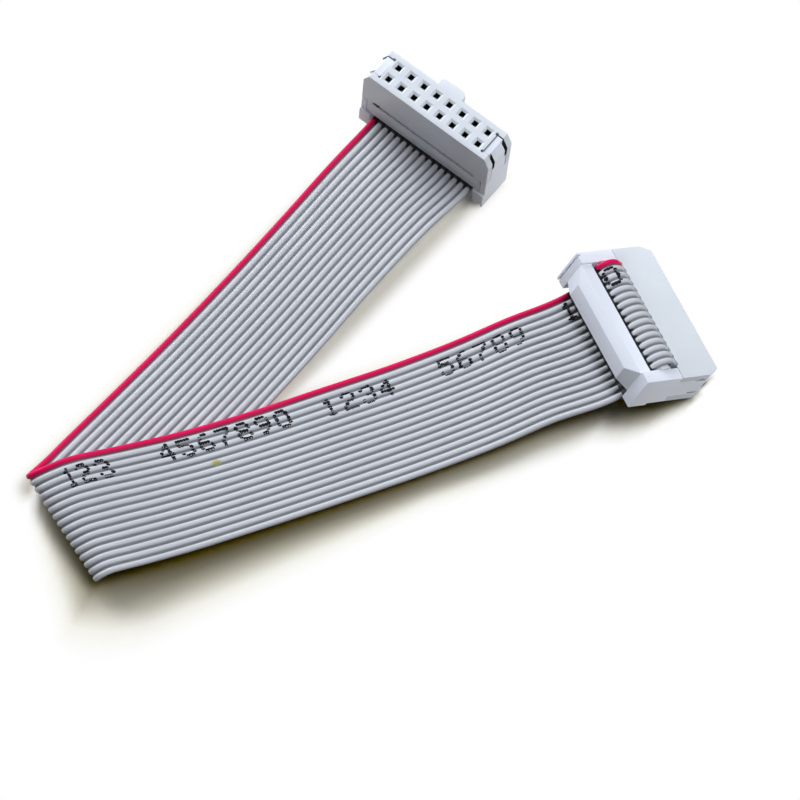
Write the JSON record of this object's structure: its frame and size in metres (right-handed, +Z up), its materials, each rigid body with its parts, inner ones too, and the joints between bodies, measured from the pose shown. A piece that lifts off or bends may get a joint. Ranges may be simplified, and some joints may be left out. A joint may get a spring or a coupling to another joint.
{
  "type": "flat ribbon cable",
  "caption": "Flat grey ribbon cable with a red edge core, folded once and crimped at each end into a keyed two-row socket with a strain relief clip.",
  "frame": {"origin": "centre of the footprint of the two sockets, on the surface the cable lies on", "axes": "+Z up from that surface, +Y towards the socket that stands on its back, +X towards the side that the other socket lies on"},
  "size_m": [0.1059, 0.0882, 0.0178],
  "materials": {
    "socket_plastic": "pale bluish grey glass-filled thermoplastic, satin moulded",
    "contact": "gold-flashed phosphor bronze strip",
    "red_core": "crimson soft PVC insulation",
    "grey_core": "light grey soft PVC insulation, satin",
    "conductor": "tinned copper strand"
  },
  "bodies": {
    "root": {"socket_body_1": "socket_plastic", "socket_body_2": "socket_plastic", "socket_cover_1": "socket_plastic", "socket_cover_2": "socket_plastic", "strain_relief_1": "socket_plastic", "strain_relief_2": "socket_plastic", "contact_1a1": "contact", "contact_1a2": "contact", "contact_1a3": "contact", "contact_1a4": "contact", "contact_1a5": "contact", "contact_1a6": "contact", "contact_1a7": "contact", "contact_1a8": "contact", "contact_1b1": "contact", "contact_1b2": "contact", "contact_1b3": "contact", "contact_1b4": "contact", "contact_1b5": "contact", "contact_1b6": "contact", "contact_1b7": "contact", "contact_1b8": "contact", "contact_2a1": "contact", "contact_2a2": "contact", "contact_2a3": "contact", "contact_2a4": "contact", "contact_2a5": "contact", "contact_2a6": "contact", "contact_2a7": "contact", "contact_2a8": "contact", "contact_2b1": "contact", "contact_2b2": "contact", "contact_2b3": "contact", "contact_2b4": "contact", "contact_2b5": "contact", "contact_2b6": "contact", "contact_2b7": "contact", "contact_2b8": "contact", "ribbon_red_core": "red_core", "ribbon_grey_cores": "grey_core", "conductor_1": "conductor", "conductor_2": "conductor", "conductor_3": "conductor", "conductor_4": "conductor", "conductor_5": "conductor", "conductor_6": "conductor", "conductor_7": "conductor", "conductor_8": "conductor", "conductor_9": "conductor", "conductor_10": "conductor", "conductor_11": "conductor", "conductor_12": "conductor", "conductor_13": "conductor", "conductor_14": "conductor", "conductor_15": "conductor", "conductor_16": "conductor"}
  },
  "joints": []
}
